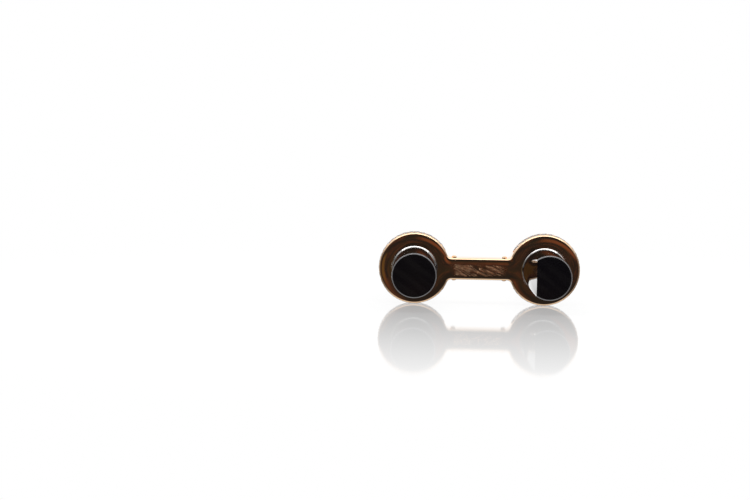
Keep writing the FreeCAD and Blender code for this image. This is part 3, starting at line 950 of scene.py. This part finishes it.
placed = recipe.node("GeometryNodeTransform", {}, {"Geometry": along_bar, "Rotation": to_side})
whole = recipe.node("GeometryNodeRealizeInstances", {}, {"Geometry": placed})
coated = recipe.node("GeometryNodeSetMaterial", {}, {
    "Geometry": whole, "Material": given.other("Finish")})
recipe.node("NodeGroupOutput", {}, {"Coil": coated})
print("coil tree:", len(coil_tree.nodes), "nodes")

# %% Two half springs
WIRE_RADIUS = 0.1 * MM
TURNS_A_HALF = 2.0

_, spring_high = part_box("plunger_spring")
coil_radius = spring_high.z - WIRE_RADIUS
coil_run = spring_high.x - WIRE_RADIUS
for side, turn in (("left", math.pi), ("right", 0.0)):
    name = side + "_spring_coils"
    wound = grown(coil_tree, name, bpy.data.meshes.new("start"), {
        "Turns": TURNS_A_HALF, "Coil radius": coil_radius, "Wire radius": WIRE_RADIUS,
        "Length": coil_run, "Turn": (0.0, 0.0, turn), "Finish": steel})
    shape = bmesh.new()
    shape.from_mesh(wound)
    bmesh.ops.remove_doubles(shape, verts=shape.verts, dist=TOUCHING)
    bmesh.ops.recalc_face_normals(shape, faces=shape.faces)
    half = hand_over(name, as_mesh(shape, name), "link", steel, ["plunger_spring"])
    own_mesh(half)

# %% [markdown]
# ## Table and light
# The link stands on a glossy white table inside a white tent, and the tent is open where the
# camera looks in. That opening is why a mirror-bright front face looks dark brown: it reflects
# the room behind the camera. Overhead hangs one soft box, which draws the white line along every
# upper edge.

# %% Table
TABLE_RADIUS = 1.5
TABLE_SIDES = 96
WHITE = (1, 1, 1, 1)
OFF_WHITE = (0.9, 0.9, 0.9, 1)
SHADE_SHARE = 0.20
SHADE_FADE_MM = (14.0, 45.0)
GLOSS_FADE_MM = (0.0, 90.0)

table_top = solid_low.z
shape = bmesh.new()
bmesh.ops.create_circle(shape, cap_ends=True, segments=TABLE_SIDES, radius=TABLE_RADIUS)
bmesh.ops.translate(shape, verts=shape.verts, vec=(0, 0, table_top))
table_mesh = bpy.data.meshes.new("table")
shape.to_mesh(table_mesh)
shape.free()
table = bpy.data.objects.new("table", table_mesh)
scene.collection.objects.link(table)
table.visible_glossy = False

white_table, recipe = start_finish("white_table")
place = recipe.millimetres()
distance = recipe.node("ShaderNodeVectorMath", {"operation": "LENGTH"}, {0: place}, "Value")
near = 1 - recipe.step(distance, *SHADE_FADE_MM)
sheen = recipe.node("ShaderNodeFresnel", {}, {"IOR": 1.5})
gloss = sheen * (1 - recipe.step(distance, *GLOSS_FADE_MM))
glow = recipe.node("ShaderNodeEmission", {}, {"Color": WHITE, "Strength": 1.0})
matt = recipe.node("ShaderNodeBsdfDiffuse", {}, {"Color": OFF_WHITE})
lit = recipe.node("ShaderNodeMixShader", {}, {0: near * SHADE_SHARE, 1: glow, 2: matt})
mirror = recipe.node("ShaderNodeBsdfGlossy", {}, {"Color": WHITE, "Roughness": 0.05})
surface = recipe.node("ShaderNodeMixShader", {}, {0: gloss, 1: lit, 2: mirror})
recipe.node("ShaderNodeOutputMaterial", {}, {"Surface": surface})
table_mesh.materials.append(white_table)
print("table at", round(table_top / MM, 3), "mm")

# %% [markdown]
# The tent and the room are a world that is seen only in reflections and through the stones. Its
# colour depends on the direction. In front is the dark room with a few warm and olive places and
# an amber wall on the left. Elsewhere is white cloth, greyer at the sides and low down behind. A
# bright card stands behind on the left, and the ramp of the right baton mirrors it.

# %% Tent and soft box
DARK_ROOM = (0.022, 0.020, 0.020, 1)
WARM_ROOM = (0.17, 0.066, 0.036, 1)
OLIVE_ROOM = (0.060, 0.045, 0.022, 1)
GLINT = (0.15, 0.055, 0.030, 1)
LEFT_WALL = (0.12, 0.075, 0.028, 1)
CLOTH_ABOVE = (1.08, 1.08, 1.08, 1)
CLOTH_BELOW = (0.80, 0.80, 0.80, 1)
CLOTH_BEHIND = (0.16, 0.15, 0.145, 1)
CLOTH_BESIDE = (0.22, 0.21, 0.20, 1)
BRIGHT_CARD = (2.6, 2.6, 2.6, 1)
PLAIN_LIGHT = (0.6, 0.6, 0.6, 1)
BOX_WIDTH, BOX_DEPTH = 0.24, 0.035
BOX_PLACE = (0.0, -0.037, 0.14)
BOX_WATTS = 0.09

world = bpy.data.worlds.new("tent")
scene.world = world
world.use_nodes = True
recipe = Recipe(world.node_tree)
way = recipe.node("ShaderNodeTexCoord", output="Generated")
axes = recipe.node("ShaderNodeSeparateXYZ", {}, {0: way})
sideways, front, up = axes, axes.other("Y") * -1.0, axes.other("Z")
leftwards, backwards, downwards = sideways * -1.0, front * -1.0, up * -1.0
opening = recipe.step(front, 0.42, 0.66)
level_band = 1 - recipe.step(abs(up + 0.09), 0.10, 0.20)

warm_band = recipe.band(up, (0.04, 0.12), (0.18, 0.36)) * recipe.step(sideways, -0.03, 0.10)
warm_side = recipe.band(leftwards, (0.08, 0.22), (0.35, 0.60))
patchy = recipe.step(recipe.noise(way, 2.6, 2.0), 0.36, 0.60)
room = recipe.blend((warm_band + warm_side * 0.6) * patchy, DARK_ROOM, WARM_ROOM)
olive = recipe.step(recipe.noise(way, 5.0, 2.0), 0.50, 0.66)
room = recipe.blend(olive * 0.4, room, OLIVE_ROOM)
glints = recipe.step(recipe.noise(way, 24.0, 2.0), 0.50, 0.62) * level_band
room = recipe.blend(glints * 0.35, room, GLINT)
wall = recipe.band(leftwards, (0.24, 0.30), (0.44, 0.52)) * level_band
room = recipe.blend(wall, room, LEFT_WALL)

cloth = recipe.blend(recipe.step(downwards, 0.05, 0.45), CLOTH_ABOVE, CLOTH_BELOW)
behind = recipe.step(backwards, 0.35, 0.75) * recipe.step(downwards, 0.14, 0.26)
cloth = recipe.blend(behind, cloth, CLOTH_BEHIND)
beside = recipe.step(abs(sideways), 0.45, 0.85) * (1 - recipe.step(up, 0.25, 0.65))
cloth = recipe.blend(beside, cloth, CLOTH_BESIDE)
card = recipe.band(leftwards, (0.18, 0.26), (0.46, 0.54)) * level_band
cloth = recipe.blend(card * recipe.step(backwards, 0.70, 0.82), cloth, BRIGHT_CARD)
seen = recipe.blend(opening, cloth, room)

path = recipe.node("ShaderNodeLightPath")
mirrored = path.other("Is Glossy Ray") + path.other("Is Transmission Ray")
plain = recipe.blend(path.other("Is Camera Ray"), PLAIN_LIGHT, WHITE)
sky = recipe.node("ShaderNodeBackground", {}, {
    "Color": recipe.blend(mirrored, plain, seen), "Strength": 1.0})
recipe.node("ShaderNodeOutputWorld", {}, {"Surface": sky})

soft_box_data = bpy.data.lights.new("soft_box", "AREA")
soft_box_data.shape = "RECTANGLE"
soft_box_data.size = BOX_WIDTH
soft_box_data.size_y = BOX_DEPTH
soft_box_data.energy = BOX_WATTS
soft_box = bpy.data.objects.new("soft_box", soft_box_data)
soft_box.location = BOX_PLACE
scene.collection.objects.link(soft_box)
scene.view_settings.view_transform = "Standard"
print("soft box", BOX_WATTS, "W, world nodes", len(world.node_tree.nodes))
